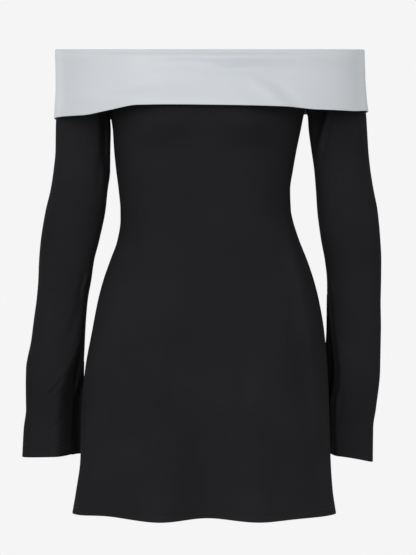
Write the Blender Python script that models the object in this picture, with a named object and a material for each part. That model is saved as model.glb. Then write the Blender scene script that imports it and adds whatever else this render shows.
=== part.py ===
"""An off-shoulder mini dress of black stretch jersey, with long sleeves and a pale collar
that folds over outwards all round.

Metres, +Z up. The front faces -Y. The origin is the middle of the neckline at the height of
the collar's fold, where the upper arms and chest of the wearer hold the dress up. Sleeves
are named by the wearer's sides, so the right sleeve is at -X. The dress keeps its worn,
hollow form: each piece is a thin wall of cloth, open at the neck, hem and cuffs. A panel or
sleeve is one piece of cloth, made in bands one below the other, and the collar in parts side
by side. They lie as close together as sewn pieces do.
"""

import math
from collections import namedtuple

import bmesh
import bpy

# Cloth
JERSEY = 0.0016  # thickness of the jersey walls
COLLAR_CLOTH = 0.0014  # thickness of the collar's cloth
SEAM_GAP = 0.0003  # clearance between neighbouring pieces, bands and parts

# Heights
UNDERARM = -0.0860  # where the sleeves part from the body
SEAM_DROP = 0.0140  # from the collar's fold down to its seam on the dress
HEM = -0.6740

# The neckline dips towards the front by this share of its depth in y.
NECK_DIP = 0.118

# The collar lies outside the dress. This is from the dress's surface to the collar's.
COLLAR_STAND = 0.0029

# Roundness of the one outline that goes round the chest and both arms
SHOULDER_POWER = 2.30

# How many flat faces each piece has across it
FRONT_COLUMNS = 28
BACK_COLUMNS = 22
SLEEVE_COLUMNS = 18
COLLAR_COLUMNS = 22

FRONT, BACK = -1, 1
RIGHT, LEFT = -1, 1

# The bands of the front and back panels and of the sleeves, each with its upper edge
Band = namedtuple("Band", "name top")
BODY_BANDS = (
    Band("yoke", 0.0),
    Band("bodice", UNDERARM),
    Band("hips", -0.2335),
    Band("skirt", -0.4220),
    Band("hem", -0.5380),
)
SLEEVE_BANDS = (
    Band("top", 0.0),
    Band("upper", UNDERARM),
    Band("fore", -0.2335),
    Band("cuff", -0.4220),
)

# The parts of each half of the collar, with the columns where they start and end
Part = namedtuple("Part", "name first last")
COLLAR_PARTS = (Part("right", 0, 7), Part("middle", 7, 15), Part("left", 15, 22))
PART_TRIM = 0.0008  # radians off a part's end, which leaves the seam gap between two

# The body at each height: its left and right edge in x, the front and back in y, the y of
# the side seams, and how square the outline is. Above the underarm the edges are the
# armhole seams.
Torso = namedtuple("Torso", "z left right front back seam power")
TORSO = (
    Torso(+0.0000, -0.1650, 0.1650, -0.0925, 0.0855, +0.000, 2.20),
    Torso(-0.0500, -0.1540, 0.1500, -0.1035, 0.0880, +0.000, 2.20),
    Torso(-0.0860, -0.1446, 0.1383, -0.1100, 0.0885, +0.000, 2.20),
    Torso(-0.0970, -0.1438, 0.1356, -0.1105, 0.0880, +0.000, 2.20),
    Torso(-0.1175, -0.1409, 0.1315, -0.1080, 0.0865, +0.000, 2.20),
    Torso(-0.1465, -0.1389, 0.1254, -0.1005, 0.0830, -0.002, 2.20),
    Torso(-0.1755, -0.1359, 0.1202, -0.0925, 0.0775, -0.004, 2.18),
    Torso(-0.2045, -0.1322, 0.1160, -0.0860, 0.0710, -0.006, 2.15),
    Torso(-0.2335, -0.1296, 0.1170, -0.0825, 0.0670, -0.007, 2.12),
    Torso(-0.2480, -0.1295, 0.1198, -0.0830, 0.0680, -0.007, 2.10),
    Torso(-0.2770, -0.1340, 0.1291, -0.0880, 0.0780, -0.005, 2.10),
    Torso(-0.3060, -0.1444, 0.1407, -0.0945, 0.0905, -0.003, 2.10),
    Torso(-0.3350, -0.1546, 0.1505, -0.1000, 0.1010, -0.001, 2.10),
    Torso(-0.3640, -0.1623, 0.1579, -0.1035, 0.1075, +0.000, 2.10),
    Torso(-0.4075, -0.1708, 0.1654, -0.1045, 0.1115, +0.001, 2.05),
    Torso(-0.4655, -0.1814, 0.1705, -0.1030, 0.1130, +0.003, 2.00),
    Torso(-0.5235, -0.1865, 0.1731, -0.1000, 0.1140, +0.005, 1.92),
    Torso(-0.5960, -0.1886, 0.1755, -0.0950, 0.1150, +0.008, 1.86),
    Torso(-0.6395, -0.1946, 0.1785, -0.0915, 0.1155, +0.009, 1.82),
    Torso(-0.6740, -0.2005, 0.1836, -0.0880, 0.1160, +0.010, 1.80),
)

# A sleeve at each height: the x of its inner and outer edge, the y of its middle, and how
# far it reaches from there to the front and to the back.
Sleeve = namedtuple("Sleeve", "z inner outer middle depth")
RIGHT_SLEEVE = (
    Sleeve(+0.0000, -0.1650, -0.2215, 0.000, 0.042),
    Sleeve(-0.0500, -0.1540, -0.2205, 0.000, 0.042),
    Sleeve(-0.0860, -0.1446, -0.2220, 0.000, 0.042),
    Sleeve(-0.0970, -0.1447, -0.2226, 0.000, 0.042),
    Sleeve(-0.1175, -0.1440, -0.2233, 0.001, 0.042),
    Sleeve(-0.1465, -0.1447, -0.2237, 0.002, 0.043),
    Sleeve(-0.1755, -0.1451, -0.2266, 0.004, 0.043),
    Sleeve(-0.2045, -0.1489, -0.2313, 0.006, 0.042),
    Sleeve(-0.2335, -0.1522, -0.2385, 0.009, 0.041),
    Sleeve(-0.2770, -0.1616, -0.2461, 0.014, 0.039),
    Sleeve(-0.3060, -0.1692, -0.2490, 0.018, 0.038),
    Sleeve(-0.3350, -0.1737, -0.2505, 0.022, 0.037),
    Sleeve(-0.3640, -0.1790, -0.2534, 0.026, 0.036),
    Sleeve(-0.3930, -0.1818, -0.2577, 0.029, 0.035),
    Sleeve(-0.4220, -0.1838, -0.2616, 0.032, 0.034),
    Sleeve(-0.4655, -0.1862, -0.2697, 0.035, 0.033),
    Sleeve(-0.4945, -0.1868, -0.2703, 0.037, 0.032),
    Sleeve(-0.5235, -0.1869, -0.2701, 0.039, 0.031),
    Sleeve(-0.5525, -0.1868, -0.2736, 0.040, 0.030),
    Sleeve(-0.5940, -0.1853, -0.2758, 0.041, 0.030),
)
LEFT_SLEEVE = (
    Sleeve(+0.0000, 0.1650, 0.2209, 0.000, 0.042),
    Sleeve(-0.0500, 0.1500, 0.2223, 0.000, 0.042),
    Sleeve(-0.0860, 0.1383, 0.2246, 0.000, 0.042),
    Sleeve(-0.0970, 0.1418, 0.2260, 0.000, 0.042),
    Sleeve(-0.1175, 0.1434, 0.2274, 0.001, 0.042),
    Sleeve(-0.1465, 0.1475, 0.2293, 0.003, 0.043),
    Sleeve(-0.1755, 0.1517, 0.2325, 0.005, 0.043),
    Sleeve(-0.2045, 0.1543, 0.2375, 0.008, 0.042),
    Sleeve(-0.2335, 0.1564, 0.2435, 0.012, 0.041),
    Sleeve(-0.2770, 0.1625, 0.2482, 0.018, 0.039),
    Sleeve(-0.3060, 0.1682, 0.2500, 0.023, 0.038),
    Sleeve(-0.3350, 0.1716, 0.2502, 0.028, 0.037),
    Sleeve(-0.3640, 0.1725, 0.2500, 0.033, 0.036),
    Sleeve(-0.4075, 0.1726, 0.2512, 0.041, 0.034),
    Sleeve(-0.4655, 0.1677, 0.2512, 0.053, 0.032),
    Sleeve(-0.5235, 0.1609, 0.2460, 0.062, 0.030),
    Sleeve(-0.5525, 0.1573, 0.2421, 0.065, 0.029),
    Sleeve(-0.6040, 0.1537, 0.2416, 0.068, 0.029),
)
SLEEVES = {RIGHT: RIGHT_SLEEVE, LEFT: LEFT_SLEEVE}

# The cuffs' edges hang lower at the outer side than at the inner side.
Cuff = namedtuple("Cuff", "inner outer")
CUFFS = {RIGHT: Cuff(-0.5920, -0.5940), LEFT: Cuff(-0.5920, -0.6040)}

# The collar's lower edge, from the wearer's right side to the left, in front and behind
Edge = namedtuple("Edge", "x z")
COLLAR_EDGES = {
    FRONT: (
        Edge(-0.225, -0.1015),
        Edge(-0.180, -0.1020),
        Edge(-0.145, -0.0970),
        Edge(-0.100, -0.0902),
        Edge(+0.000, -0.0912),
        Edge(+0.110, -0.0925),
        Edge(+0.150, -0.0952),
        Edge(+0.200, -0.0950),
        Edge(+0.228, -0.0914),
    ),
    BACK: (
        Edge(-0.225, -0.1015),
        Edge(-0.150, -0.0960),
        Edge(+0.000, -0.0905),
        Edge(+0.143, -0.0885),
        Edge(+0.228, -0.0914),
    ),
}

# Soft flutes of the skirt: x at the hem, how far they stand out there or, below nothing,
# fall in, their half width, and the height where they start.
Flute = namedtuple("Flute", "x stand width start")
FLUTES = {
    FRONT: (
        Flute(-0.150, -0.014, 0.034, -0.400),
        Flute(-0.072, +0.012, 0.034, -0.370),
        Flute(-0.004, -0.022, 0.038, -0.390),
        Flute(+0.074, +0.013, 0.036, -0.370),
    ),
    BACK: (
        Flute(-0.118, -0.010, 0.034, -0.410),
        Flute(-0.062, +0.010, 0.036, -0.380),
        Flute(+0.008, -0.015, 0.038, -0.400),
        Flute(+0.078, +0.011, 0.036, -0.380),
    ),
}
FLUTE_GROWTH = 1.3  # above 1, the flutes grow more towards the hem than near their start
HEM_LIFT = 0.1  # a flute that falls in lifts the hem by this share of its depth
SIDE_CALM = 2.0  # how soon flutes and bust come up on the way in from the side seams

# The fullness of the bust: its x, its height, how far it stands out, and its half sizes
Fullness = namedtuple("Fullness", "x z stand width height")
BUST = (
    Fullness(-0.062, -0.112, 0.0045, 0.040, 0.040),
    Fullness(+0.058, -0.112, 0.0045, 0.040, 0.040),
)

# Rows of points from the neckline down: shares of the way up from the underarm, closer
# together near it, then heights
ARMHOLE_STEPS = 7
BODY_HEIGHTS = (
    -0.0970, -0.1175, -0.1465, -0.1755, -0.2045, -0.2335, -0.2625, -0.2915,
    -0.3205, -0.3495, -0.3785, -0.4220, -0.4800, -0.5380, -0.5960, -0.6380,
)
SLEEVE_HEIGHTS = (
    -0.0970, -0.1175, -0.1465, -0.1755, -0.2045, -0.2335, -0.2625, -0.2915,
    -0.3205, -0.3495, -0.3785, -0.4220, -0.4655, -0.4945, -0.5235, -0.5525,
)

# Rows of the collar: depths below its fold on the inner leg, angles round the fold, and
# shares of the way down the outer leg
INNER_LEG = (SEAM_DROP, 0.0070)
FOLD_ANGLES = (180, 135, 90, 45, 0)
OUTER_LEG = (0.10, 0.24, 0.40, 0.57, 0.74, 0.88, 1.00)


def slope(places, values, i):
    """The slope of a smooth curve at its point i, kept low enough not to overshoot."""
    if i == 0 or i == len(places) - 1:
        j = max(i, 1)
        return (values[j] - values[j - 1]) / (places[j] - places[j - 1])
    before = (values[i] - values[i - 1]) / (places[i] - places[i - 1])
    after = (values[i + 1] - values[i]) / (places[i + 1] - places[i])
    if before * after <= 0:
        return 0.0
    return 2 * before * after / (before + after)


def read(table, column, place):
    """A column of a table at a place between its rows, on a smooth curve."""
    sign = 1 if table[-1][0] > table[0][0] else -1
    places = [sign * row[0] for row in table]
    values = [getattr(row, column) for row in table]
    place = min(max(sign * place, places[0]), places[-1])
    i = 0
    while place > places[i + 1]:
        i += 1
    step = places[i + 1] - places[i]
    t = (place - places[i]) / step
    start, end = slope(places, values, i) * step, slope(places, values, i + 1) * step
    return (
        values[i] * (1 + 2 * t) * (1 - t) ** 2
        + start * t * (1 - t) ** 2
        + values[i + 1] * t * t * (3 - 2 * t)
        + end * t * t * (t - 1)
    )


def soft_step(low, high, value):
    """0 up to low, 1 from high on, and smooth between them."""
    t = min(max((value - low) / (high - low), 0.0), 1.0)
    return t * t * (3 - 2 * t)


def bulge(x, left, right, depth, power):
    """How far a rounded outline from left to right stands out at x."""
    reach = abs(2 * x - left - right) / (right - left)
    return depth * max(1 - reach**power, 0.0) ** (1 / power)


def depth_of(face, z):
    """How far the body reaches from its side seams to the front or to the back."""
    column = "front" if face == FRONT else "back"
    return face * (read(TORSO, column, z) - read(TORSO, "seam", z))


def shoulder_bulge(x, face, z, offset):
    """The outline that goes round the chest and both arms, moved out by an offset."""
    left = read(RIGHT_SLEEVE, "outer", z) - offset
    right = read(LEFT_SLEEVE, "outer", z) + offset
    return bulge(x, left, right, depth_of(face, z) + offset, SHOULDER_POWER)


def fold_height(y):
    """The height of the collar's fold, which dips towards the front."""
    return NECK_DIP * min(y, 0.0)


def armhole_opening(rise):
    """How far the armhole has opened, from 0 at the underarm to 1 at the neckline."""
    return math.sqrt(1 - (1 - rise) ** 2)


def ruffled(face, x, z):
    """How far the bust and the skirt's flutes move the cloth out at a place."""
    out = 0.0
    for flute in FLUTES[face]:
        middle = flute.x * read(TORSO, "right", z) / TORSO[-1].right
        grown = soft_step(-flute.start, -HEM, -z) ** FLUTE_GROWTH
        out += flute.stand * grown * math.exp(-(((x - middle) / flute.width) ** 2))
    if face == FRONT:
        for swell in BUST:
            across = ((x - swell.x) / swell.width) ** 2
            along = ((z - swell.z) / swell.height) ** 2
            out += swell.stand * math.exp(-across - along)
    return out


def raised(rise, y):
    """The height of a row that is this share of the way up to the neckline seam."""
    seam = fold_height(y) - SEAM_DROP - SEAM_GAP
    return UNDERARM + rise * (seam - UNDERARM)


def panel_point(face, z, rise, turn, inset):
    """A point of the front or back panel. turn runs from 0 to pi across it."""
    left = read(TORSO, "left", z) + SEAM_GAP / 2 + inset
    right = read(TORSO, "right", z) - SEAM_GAP / 2 - inset
    x = (left + right) / 2 - (right - left) / 2 * math.cos(turn)
    seam = read(TORSO, "seam", z)
    stand = bulge(x, left, right, depth_of(face, z) - inset, read(TORSO, "power", z))
    if rise > 0:
        whole = shoulder_bulge(x, face, z, -inset)
        stand += (whole - stand) * armhole_opening(rise)
        height = raised(rise, seam + face * whole)
    else:
        height = z - HEM_LIFT * ruffled(face, x, z)
    # The flutes and the bust die away at the side seams, where front and back meet.
    calm = min(math.sin(turn) * SIDE_CALM, 1.0)
    stand += ruffled(face, x, z) * calm
    return x, seam + face * (stand + SEAM_GAP / 2), height


def sleeve_point(side, z, rise, turn, inset):
    """A point of a sleeve. turn runs round it from the inner side, by the front."""
    table = SLEEVES[side]
    face = FRONT if turn < math.pi else BACK
    edge = "left" if side == RIGHT else "right"
    inner = read(TORSO, edge, z) if rise > 0 else read(table, "inner", z)
    inner += side * (SEAM_GAP / 2 + inset)
    outer = read(table, "outer", z) - side * inset
    x = (inner + outer) / 2 - (outer - inner) / 2 * math.cos(turn)
    stand = (read(table, "depth", z) - inset) * abs(math.sin(turn))
    middle = read(table, "middle", z)
    height = z
    if rise > 0:
        whole = shoulder_bulge(x, face, z, -inset)
        stand += (whole - stand) * armhole_opening(rise)
        height = raised(rise, middle + face * whole)
    elif z <= table[-1].z:
        cuff = CUFFS[side]
        across = (1 - math.cos(turn)) / 2
        height = cuff.inner + (cuff.outer - cuff.inner) * across**2
    return x, middle + face * stand, height


def collar_point(face, drop, share, turn, offset):
    """A point of the collar, this far outside the dress's own surface.

    drop is its depth below the fold. share, where given, is its way down the outer leg.
    """
    level = -drop if share is None else COLLAR_EDGES[face][0].z * share
    left = read(RIGHT_SLEEVE, "outer", level) - offset
    right = read(LEFT_SLEEVE, "outer", level) + offset
    x = (left + right) / 2 - (right - left) / 2 * math.cos(turn)
    seam = read(TORSO, "seam", level)
    stand = shoulder_bulge(x, face, level, offset) + SEAM_GAP / 2
    y = seam + face * stand
    z = fold_height(y) - drop
    if share is not None:
        z += share * (read(COLLAR_EDGES[face], "z", x) - z)
    return x, y, z


def armhole_rows():
    """Shares of the way up from the underarm, from the neckline down to just above it."""
    return [(step / ARMHOLE_STEPS) ** 2 for step in range(ARMHOLE_STEPS, 0, -1)]


def body_rows(lower, last):
    """Each row's height for reading the tables, and its share above the underarm."""
    top = -SEAM_DROP - SEAM_GAP
    rows = [(UNDERARM + rise * (top - UNDERARM), rise) for rise in armhole_rows()]
    rows += [(z, 0.0) for z in (UNDERARM, *lower, last)]
    return rows


def in_bands(rows, bands):
    """Each band's name with its rows, where a band ends half the seam gap early."""
    edges = [next(i for i, (z, _) in enumerate(rows) if z <= band.top) for band in bands]
    edges.append(len(rows) - 1)
    for band, first, last in zip(bands, edges, edges[1:]):
        part = rows[first : last + 1]
        if first > 0:
            part[0] = (part[0][0] - SEAM_GAP / 2, 0.0)
        if last < len(rows) - 1:
            part[-1] = (part[-1][0] + SEAM_GAP / 2, 0.0)
        yield band.name, part


def wall(name, outer, inner, material, ring_from=None):
    """A closed wall of cloth between an outer and an inner sheet of rows of points.

    From the row ring_from down, the two sides of the sheets are one, as in a tube.
    """
    mesh = bmesh.new()

    def is_ring(row):
        return ring_from is not None and row >= ring_from

    def placed(sheet):
        rows = []
        for number, points in enumerate(sheet):
            kept = points[:-1] if is_ring(number) else points
            row = [mesh.verts.new(point) for point in kept]
            if is_ring(number):
                row.append(row[0])
            rows.append(row)
        return rows

    out_rows, in_rows = placed(outer), placed(inner)
    last, end = len(outer) - 1, len(outer[0]) - 1
    for row in range(last):
        for sheet in (out_rows, in_rows):
            for column in range(end):
                mesh.faces.new((
                    sheet[row][column], sheet[row + 1][column],
                    sheet[row + 1][column + 1], sheet[row][column + 1],
                ))
        if not is_ring(row):
            for side in (0, end):
                mesh.faces.new((
                    out_rows[row][side], in_rows[row][side],
                    in_rows[row + 1][side], out_rows[row + 1][side],
                ))
    for row in (0, last):
        for column in range(end):
            mesh.faces.new((
                out_rows[row][column], out_rows[row][column + 1],
                in_rows[row][column + 1], in_rows[row][column],
            ))
    bmesh.ops.recalc_face_normals(mesh, faces=mesh.faces)
    data = bpy.data.meshes.new(name)
    mesh.to_mesh(data)
    mesh.free()
    data.shade_smooth()
    data.set_sharp_from_angle(angle=math.radians(50))
    data.materials.append(material)
    thing = bpy.data.objects.new(name, data)
    bpy.context.scene.collection.objects.link(thing)
    return thing


def linear(hex_colour):
    """An sRGB hex colour as the linear colour that a shader takes."""
    parts = [int(hex_colour[i : i + 2], 16) / 255 for i in (0, 2, 4)]
    bent = [p / 12.92 if p <= 0.04045 else ((p + 0.055) / 1.055) ** 2.4 for p in parts]
    return (*bent, 1.0)


def cloth_material(name, hex_colour, roughness):
    material = bpy.data.materials.new(name)
    material.use_nodes = True
    shader = material.node_tree.nodes["Principled BSDF"]
    shader.inputs["Base Color"].default_value = linear(hex_colour)
    shader.inputs["Roughness"].default_value = roughness
    shader.inputs["Metallic"].default_value = 0.0
    material.diffuse_color = linear(hex_colour)
    return material


def jersey(node):
    return cloth_material(f"jersey_{node}", "232325", 0.85)


def satin(node):
    return cloth_material(f"satin_{node}", "CDD1D4", 0.45)


def panel(name, face, columns):
    """The front or the back of the dress, in bands from its neckline seam to the hem."""
    across = [math.pi * column / columns for column in range(columns + 1)]
    for band, rows in in_bands(body_rows(BODY_HEIGHTS, HEM), BODY_BANDS):
        outer, inner = (
            [[panel_point(face, z, rise, turn, inset) for turn in across] for z, rise in rows]
            for inset in (0.0, JERSEY)
        )
        wall(f"{name}_{band}", outer, inner, jersey(f"{name}_{band}"))


def sleeve(name, side):
    """A sleeve, in bands: slit open above the underarm, then a tube down to the cuff."""
    around = [2 * math.pi * column / SLEEVE_COLUMNS for column in range(SLEEVE_COLUMNS + 1)]
    for band, rows in in_bands(body_rows(SLEEVE_HEIGHTS, SLEEVES[side][-1].z), SLEEVE_BANDS):
        outer, inner = (
            [[sleeve_point(side, z, rise, turn, inset) for turn in around] for z, rise in rows]
            for inset in (0.0, JERSEY)
        )
        slit_rows = sum(1 for _, rise in rows if rise > 0)
        wall(f"{name}_{band}", outer, inner, jersey(f"{name}_{band}"), ring_from=slit_rows)


def part_turns(part):
    """The turns of a collar part's columns. Ends that meet another part are trimmed."""
    columns = [math.pi * column / COLLAR_COLUMNS for column in range(part.first, part.last + 1)]
    if part.first > 0:
        columns[0] += PART_TRIM
    if part.last < COLLAR_COLUMNS:
        columns[-1] -= PART_TRIM
    return columns


def collar_sheet(face, across, radius):
    """One side of the collar: up from its seam, over the fold and down outside the dress."""
    bend_middle = (COLLAR_STAND - COLLAR_CLOTH) / 2
    bend_drop = bend_middle + COLLAR_CLOTH
    up, down = bend_middle - radius, bend_middle + radius
    sheet = [[collar_point(face, drop, None, t, up) for t in across] for drop in INNER_LEG]
    for angle in FOLD_ANGLES:
        offset = bend_middle + radius * math.cos(math.radians(angle))
        drop = bend_drop - radius * math.sin(math.radians(angle))
        sheet.append([collar_point(face, drop, None, t, offset) for t in across])
    for share in OUTER_LEG:
        sheet.append([collar_point(face, bend_drop, share, t, down) for t in across])
    return sheet


def collar(name, face):
    """Half of the collar, in parts side by side."""
    inner_radius = (COLLAR_STAND - COLLAR_CLOTH) / 2
    for part in COLLAR_PARTS:
        across = part_turns(part)
        outer = collar_sheet(face, across, inner_radius + COLLAR_CLOTH)
        inner = collar_sheet(face, across, inner_radius)
        wall(f"{name}_{part.name}", outer, inner, satin(f"{name}_{part.name}"))


def main():
    for thing in list(bpy.data.objects):
        bpy.data.objects.remove(thing, do_unlink=True)
    panel("dress_front", FRONT, FRONT_COLUMNS)
    panel("dress_back", BACK, BACK_COLUMNS)
    sleeve("sleeve_right", RIGHT)
    sleeve("sleeve_left", LEFT)
    collar("collar_front", FRONT)
    collar("collar_back", BACK)


main()
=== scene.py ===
import math
from collections import namedtuple

import bmesh
import bpy
import numpy as np
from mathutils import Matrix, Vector


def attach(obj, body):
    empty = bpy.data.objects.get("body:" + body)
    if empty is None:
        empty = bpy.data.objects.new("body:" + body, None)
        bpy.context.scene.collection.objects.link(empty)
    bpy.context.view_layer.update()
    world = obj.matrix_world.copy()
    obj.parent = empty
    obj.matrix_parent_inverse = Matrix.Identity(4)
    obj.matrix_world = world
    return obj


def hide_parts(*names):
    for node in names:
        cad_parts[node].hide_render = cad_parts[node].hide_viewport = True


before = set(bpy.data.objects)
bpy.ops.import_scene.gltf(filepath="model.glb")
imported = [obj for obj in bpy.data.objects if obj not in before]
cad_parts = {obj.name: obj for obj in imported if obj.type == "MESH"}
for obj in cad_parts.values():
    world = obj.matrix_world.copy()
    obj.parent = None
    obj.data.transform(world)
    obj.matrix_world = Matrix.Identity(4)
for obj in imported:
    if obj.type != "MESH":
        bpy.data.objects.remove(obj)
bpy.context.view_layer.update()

# An off-shoulder mini dress of black stretch jersey with a pale collar folded over
# outwards. Metres, +Z up, the front faces -Y, and the wearer's right side is at -X. Each
# piece is a thin shell on its solid's form, with its creases placed one by one.

# Cloth thicknesses
JERSEY = 0.0008
COLLAR_CLOTH = 0.0007

# Heights
UNDERARM = -0.0860  # where the sleeves part from the body
SEAM_DROP = 0.0140  # from the collar's fold down to its seam on the dress
HEM = -0.6740

NECK_DIP = 0.118  # the neckline dips towards the front by this share of its depth in y
SHOULDER_POWER = 2.30  # roundness of the outline round the chest and both arms
SLEEVE_FLATNESS = 0.65  # 1 is an oval sleeve, and less is flatter in front and behind

# The collar, from the dress's own surface
COLLAR_STAND = 0.0029  # out to the part that is folded over
COLLAR_INSIDE = 0.0014  # in to the part that goes down to the seam
COLLAR_ROLL = 0.12  # share of the folded part's depth that stays round below the fold
COLLAR_TURN = 0.17  # share of its depth that is turned in at its lower edge
COLLAR_TURN_GAP = 0.0017  # from its outer surface to the turned-in layer's

FRONT, BACK = -1, 1
RIGHT, LEFT = -1, 1

# The body at each height: its left and right edge in x, the front and back in y, the y of
# the side seams, and how square the outline is. Above the underarm the edges are the
# armhole seams.
Torso = namedtuple("Torso", "z left right front back seam power")
TORSO = (
    Torso(+0.0000, -0.1650, 0.1650, -0.0925, 0.0855, +0.000, 2.20),
    Torso(-0.0500, -0.1540, 0.1500, -0.1035, 0.0880, +0.000, 2.20),
    Torso(-0.0860, -0.1446, 0.1383, -0.1100, 0.0885, +0.000, 2.20),
    Torso(-0.0970, -0.1438, 0.1356, -0.1105, 0.0880, +0.000, 2.20),
    Torso(-0.1175, -0.1409, 0.1315, -0.1080, 0.0865, +0.000, 2.20),
    Torso(-0.1465, -0.1389, 0.1254, -0.1005, 0.0830, -0.002, 2.20),
    Torso(-0.1755, -0.1359, 0.1202, -0.0925, 0.0775, -0.004, 2.18),
    Torso(-0.2045, -0.1322, 0.1160, -0.0860, 0.0710, -0.006, 2.15),
    Torso(-0.2335, -0.1296, 0.1170, -0.0825, 0.0670, -0.007, 2.12),
    Torso(-0.2480, -0.1295, 0.1198, -0.0830, 0.0680, -0.007, 2.10),
    Torso(-0.2770, -0.1340, 0.1291, -0.0880, 0.0780, -0.005, 2.10),
    Torso(-0.3060, -0.1444, 0.1407, -0.0945, 0.0905, -0.003, 2.10),
    Torso(-0.3350, -0.1546, 0.1505, -0.1000, 0.1010, -0.001, 2.10),
    Torso(-0.3640, -0.1623, 0.1579, -0.1035, 0.1075, +0.000, 2.10),
    Torso(-0.4075, -0.1708, 0.1654, -0.1045, 0.1115, +0.001, 2.05),
    Torso(-0.4655, -0.1814, 0.1705, -0.1030, 0.1130, +0.003, 2.00),
    Torso(-0.5235, -0.1865, 0.1731, -0.1000, 0.1140, +0.005, 1.92),
    Torso(-0.5960, -0.1886, 0.1755, -0.0950, 0.1150, +0.008, 1.86),
    Torso(-0.6395, -0.1946, 0.1785, -0.0915, 0.1155, +0.009, 1.82),
    Torso(-0.6740, -0.2005, 0.1836, -0.0880, 0.1160, +0.010, 1.80),
)

# A sleeve at each height: the x of its inner and outer edge, the y of its middle, and how
# far it reaches from there to the front and to the back.
Sleeve = namedtuple("Sleeve", "z inner outer middle depth")
RIGHT_SLEEVE = (
    Sleeve(+0.0000, -0.1650, -0.2215, 0.000, 0.042),
    Sleeve(-0.0500, -0.1540, -0.2205, 0.000, 0.042),
    Sleeve(-0.0860, -0.1446, -0.2220, 0.000, 0.042),
    Sleeve(-0.0970, -0.1447, -0.2226, 0.000, 0.042),
    Sleeve(-0.1175, -0.1440, -0.2233, 0.001, 0.042),
    Sleeve(-0.1465, -0.1447, -0.2237, 0.002, 0.043),
    Sleeve(-0.1755, -0.1451, -0.2266, 0.004, 0.043),
    Sleeve(-0.2045, -0.1489, -0.2313, 0.006, 0.042),
    Sleeve(-0.2335, -0.1522, -0.2385, 0.009, 0.041),
    Sleeve(-0.2770, -0.1616, -0.2461, 0.014, 0.039),
    Sleeve(-0.3060, -0.1692, -0.2490, 0.018, 0.038),
    Sleeve(-0.3350, -0.1737, -0.2505, 0.022, 0.037),
    Sleeve(-0.3640, -0.1790, -0.2534, 0.026, 0.036),
    Sleeve(-0.3930, -0.1818, -0.2577, 0.029, 0.035),
    Sleeve(-0.4220, -0.1838, -0.2616, 0.032, 0.034),
    Sleeve(-0.4655, -0.1862, -0.2697, 0.035, 0.033),
    Sleeve(-0.4945, -0.1868, -0.2703, 0.037, 0.032),
    Sleeve(-0.5235, -0.1869, -0.2701, 0.039, 0.031),
    Sleeve(-0.5525, -0.1868, -0.2736, 0.040, 0.030),
    Sleeve(-0.5940, -0.1853, -0.2758, 0.041, 0.030),
)
LEFT_SLEEVE = (
    Sleeve(+0.0000, 0.1650, 0.2209, 0.000, 0.042),
    Sleeve(-0.0500, 0.1500, 0.2223, 0.000, 0.042),
    Sleeve(-0.0860, 0.1383, 0.2246, 0.000, 0.042),
    Sleeve(-0.0970, 0.1418, 0.2260, 0.000, 0.042),
    Sleeve(-0.1175, 0.1434, 0.2274, 0.001, 0.042),
    Sleeve(-0.1465, 0.1475, 0.2293, 0.003, 0.043),
    Sleeve(-0.1755, 0.1517, 0.2325, 0.005, 0.043),
    Sleeve(-0.2045, 0.1543, 0.2375, 0.008, 0.042),
    Sleeve(-0.2335, 0.1564, 0.2435, 0.012, 0.041),
    Sleeve(-0.2770, 0.1625, 0.2482, 0.018, 0.039),
    Sleeve(-0.3060, 0.1682, 0.2500, 0.023, 0.038),
    Sleeve(-0.3350, 0.1716, 0.2502, 0.028, 0.037),
    Sleeve(-0.3640, 0.1725, 0.2500, 0.033, 0.036),
    Sleeve(-0.4075, 0.1726, 0.2512, 0.041, 0.034),
    Sleeve(-0.4655, 0.1677, 0.2512, 0.053, 0.032),
    Sleeve(-0.5235, 0.1609, 0.2460, 0.062, 0.030),
    Sleeve(-0.5525, 0.1573, 0.2421, 0.065, 0.029),
    Sleeve(-0.6040, 0.1537, 0.2416, 0.068, 0.029),
)
SLEEVES = {RIGHT: RIGHT_SLEEVE, LEFT: LEFT_SLEEVE}

# The cuffs' edges hang lower at the outer side than at the inner side.
Cuff = namedtuple("Cuff", "inner outer")
CUFFS = {RIGHT: Cuff(-0.5920, -0.5940), LEFT: Cuff(-0.5920, -0.6040)}

# The collar's lower edge, from the wearer's right side to the left, in front and behind
Edge = namedtuple("Edge", "x z")
COLLAR_EDGES = {
    FRONT: (
        Edge(-0.225, -0.1015),
        Edge(-0.180, -0.1020),
        Edge(-0.145, -0.0970),
        Edge(-0.100, -0.0902),
        Edge(+0.000, -0.0912),
        Edge(+0.110, -0.0925),
        Edge(+0.150, -0.0952),
        Edge(+0.200, -0.0950),
        Edge(+0.228, -0.0914),
    ),
    BACK: (
        Edge(-0.225, -0.1015),
        Edge(-0.150, -0.0960),
        Edge(+0.000, -0.0905),
        Edge(+0.143, -0.0885),
        Edge(+0.228, -0.0914),
    ),
}

# Soft flutes of the skirt: x at the hem, how far they stand out there or, below nothing,
# fall in, their half width, and the height where they start.
Flute = namedtuple("Flute", "x stand width start")
FLUTES = {
    FRONT: (
        Flute(-0.150, -0.014, 0.034, -0.400),
        Flute(-0.072, +0.012, 0.034, -0.370),
        Flute(-0.004, -0.022, 0.038, -0.390),
        Flute(+0.074, +0.013, 0.036, -0.370),
    ),
    BACK: (
        Flute(-0.118, -0.010, 0.034, -0.410),
        Flute(-0.062, +0.010, 0.036, -0.380),
        Flute(+0.008, -0.015, 0.038, -0.400),
        Flute(+0.078, +0.011, 0.036, -0.380),
    ),
}
FLUTE_GROWTH = 1.3  # 1 is an even growth of a flute downwards, and more is a later one
HEM_LIFT = 0.1  # a flute that falls in lifts the hem by this share of its depth

# The fullness of the bust: its x, its height, how far it stands out, and its half sizes
Fullness = namedtuple("Fullness", "x z stand width height")
BUST = (
    Fullness(-0.062, -0.112, 0.0045, 0.040, 0.040),
    Fullness(+0.058, -0.112, 0.0045, 0.040, 0.040),
)

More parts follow.
